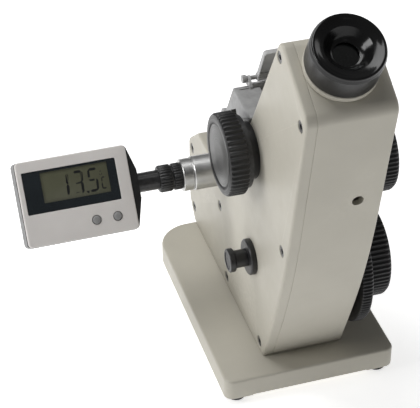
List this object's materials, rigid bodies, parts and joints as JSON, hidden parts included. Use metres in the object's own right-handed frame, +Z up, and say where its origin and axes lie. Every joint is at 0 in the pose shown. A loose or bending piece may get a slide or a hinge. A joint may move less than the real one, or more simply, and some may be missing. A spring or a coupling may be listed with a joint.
{
  "type": "refractometer",
  "caption": "Bench refractometer on a cast base, with a leaning eyepiece, side handwheels, rear prism seats and a screw-in digital thermometer.",
  "frame": {"origin": "middle of the whole outline, at the level of the table that the rubber feet stand on", "axes": "+Z up; the user looks along +Y, so the eyepiece leans towards -Y; the thermometer stands out towards -X"},
  "size_m": [0.1924, 0.2032, 0.2473],
  "materials": {
    "cream_paint": "fine-textured semi-gloss paint",
    "grey_paint": "hammered grey paint",
    "black_plastic": "moulded, satin",
    "eyecup_plastic": "moulded, gloss",
    "white_plastic": "moulded, fine texture",
    "window_plastic": "dark tinted window",
    "grey_button": "soft moulded",
    "electronics": "board laminate and display module",
    "rubber": "moulded",
    "satin_metal": "turned, satin",
    "steel": "ground",
    "dark_steel": "blackened screws",
    "black_anodised": "black anodised",
    "brass": "machined",
    "glass": "polished",
    "mirror": "silvered"
  },
  "bodies": {
    "instrument": {"base_plate": "cream_paint", "rubber_feet": "rubber", "housing": "cream_paint", "left_cover_plate": "cream_paint", "cover_screws": "dark_steel", "eyepiece_collar": "cream_paint", "reticle": "glass", "telescope_barrel": "black_anodised", "objective_lens": "glass", "compensator_frame": "black_anodised", "shaft_bushes": "brass", "reading_tube": "black_anodised", "reading_prism": "glass", "condenser_bush": "black_plastic", "refracting_prism_seat": "grey_paint", "refracting_prism": "glass", "prism_hinge_pin": "steel", "lower_water_nozzles": "satin_metal", "lock_flange": "black_plastic", "thermometer_seat": "satin_metal", "thermometer_nut": "black_plastic", "thermometer_probe": "steel", "display_back_shell": "black_plastic", "display_front_shell": "white_plastic", "display_window": "window_plastic", "display_electronics": "electronics"},
    "eyepiece_cell_body": {"eyepiece_cell": "black_anodised", "eye_lens": "glass", "field_lens": "glass"},
    "eyepiece_cup_body": {"eyepiece_cup": "eyecup_plastic"},
    "upper_compensator": {"upper_prism_cell": "brass", "upper_amici_prism": "glass"},
    "lower_compensator": {"lower_prism_cell": "brass", "lower_amici_prism": "glass"},
    "dispersion_drive": {"dispersion_shaft": "steel", "dispersion_handwheel": "black_plastic", "dispersion_scale_ring": "satin_metal"},
    "index_drive": {"index_shaft": "steel", "index_handwheel": "black_plastic", "index_handwheel_rim": "black_plastic"},
    "sector": {"scale_sector": "brass", "scale_glass": "glass", "swing_mirror": "mirror"},
    "calibration": {"calibration_screw": "steel"},
    "condenser": {"condenser_knob": "black_plastic", "condenser_lens": "glass"},
    "entering_seat": {"entering_prism_seat": "grey_paint", "entering_prism": "glass", "upper_water_nozzles": "satin_metal", "keeper_pin": "steel"},
    "reflector": {"reflector_frame": "grey_paint", "reflector_mirror": "mirror", "reflector_pin": "steel"},
    "shutter": {"light_shutter": "grey_paint"},
    "lock": {"lock_shaft": "steel", "lock_cam": "black_plastic", "lock_handwheel": "black_plastic", "lock_wheel_disc": "satin_metal"},
    "left_button": {"display_buttons_left": "grey_button"},
    "right_button": {"display_buttons_right": "grey_button"}
  },
  "joints": [
    {"name": "eyepiece_travel", "type": "slide", "parent": "instrument", "child": "eyepiece_cell_body", "axis": [0, -0.5, 0.866], "range_m": [0, 0.0024]},
    {"name": "eyepiece_turn", "type": "hinge", "parent": "eyepiece_cell_body", "child": "eyepiece_cup_body", "pos_m": [0.04665, -0.08317, 0.23332], "axis": [0, -0.5, 0.866], "range_deg": [0, 300]},
    {"name": "dispersion_turn", "type": "hinge", "parent": "instrument", "child": "dispersion_drive", "pos_m": [0.08565, -0.02392, 0.1307], "axis": [1, 0, 0], "continuous": true},
    {"name": "upper_compensator_turn", "type": "hinge", "parent": "instrument", "child": "upper_compensator", "pos_m": [0.04665, -0.03067, 0.14239], "axis": [0, -0.5, 0.866], "continuous": true},
    {"name": "lower_compensator_turn", "type": "hinge", "parent": "instrument", "child": "lower_compensator", "pos_m": [0.04665, -0.01717, 0.119], "axis": [0, -0.5, 0.866], "continuous": true},
    {"name": "index_turn", "type": "hinge", "parent": "instrument", "child": "index_drive", "pos_m": [0.08565, -0.02177, 0.0612], "axis": [1, 0, 0], "range_deg": [-84, 84]},
    {"name": "sector_swing", "type": "hinge", "parent": "instrument", "child": "sector", "pos_m": [0.04565, -0.00667, 0.10082], "axis": [1, 0, 0], "range_deg": [-14, 14]},
    {"name": "calibration_turn", "type": "hinge", "parent": "instrument", "child": "calibration", "pos_m": [0.05605, -0.07277, 0.1469], "axis": [0, 1, 0], "continuous": true},
    {"name": "condenser_turn", "type": "hinge", "parent": "instrument", "child": "condenser", "pos_m": [0.01565, -0.02177, 0.0719], "axis": [1, 0, 0], "continuous": true},
    {"name": "prism_open", "type": "hinge", "parent": "instrument", "child": "entering_seat", "pos_m": [0.04265, 0.03973, 0.12615], "axis": [-1, 0, 0], "range_deg": [0, 100]},
    {"name": "reflector_tilt", "type": "hinge", "parent": "entering_seat", "child": "reflector", "pos_m": [0.04565, 0.01703, 0.1624], "axis": [1, 0, 0], "range_deg": [-80, 35]},
    {"name": "shutter_open", "type": "hinge", "parent": "instrument", "child": "shutter", "pos_m": [0.04565, 0.04145, 0.11729], "axis": [1, 0, 0], "range_deg": [0, 85]},
    {"name": "lock_turn", "type": "hinge", "parent": "instrument", "child": "lock", "pos_m": [0.01565, -0.01827, 0.141], "axis": [1, 0, 0], "range_deg": [-24, 60]},
    {"name": "left_button_press", "type": "slide", "parent": "instrument", "child": "left_button", "axis": [0, 0.7986, -0.6018], "range_m": [0, 0.0006], "stiffness_N_per_m": 800, "springref_m": -0.0006},
    {"name": "right_button_press", "type": "slide", "parent": "instrument", "child": "right_button", "axis": [0, 0.7986, -0.6018], "range_m": [0, 0.0006], "stiffness_N_per_m": 800, "springref_m": -0.0006}
  ],
  "couplings": [
    {"joint": "upper_compensator_turn", "follows": "dispersion_turn", "ratio": -0.36111},
    {"joint": "lower_compensator_turn", "follows": "dispersion_turn", "ratio": 0.36111},
    {"joint": "sector_swing", "follows": "index_turn", "ratio": -0.16484}
  ]
}
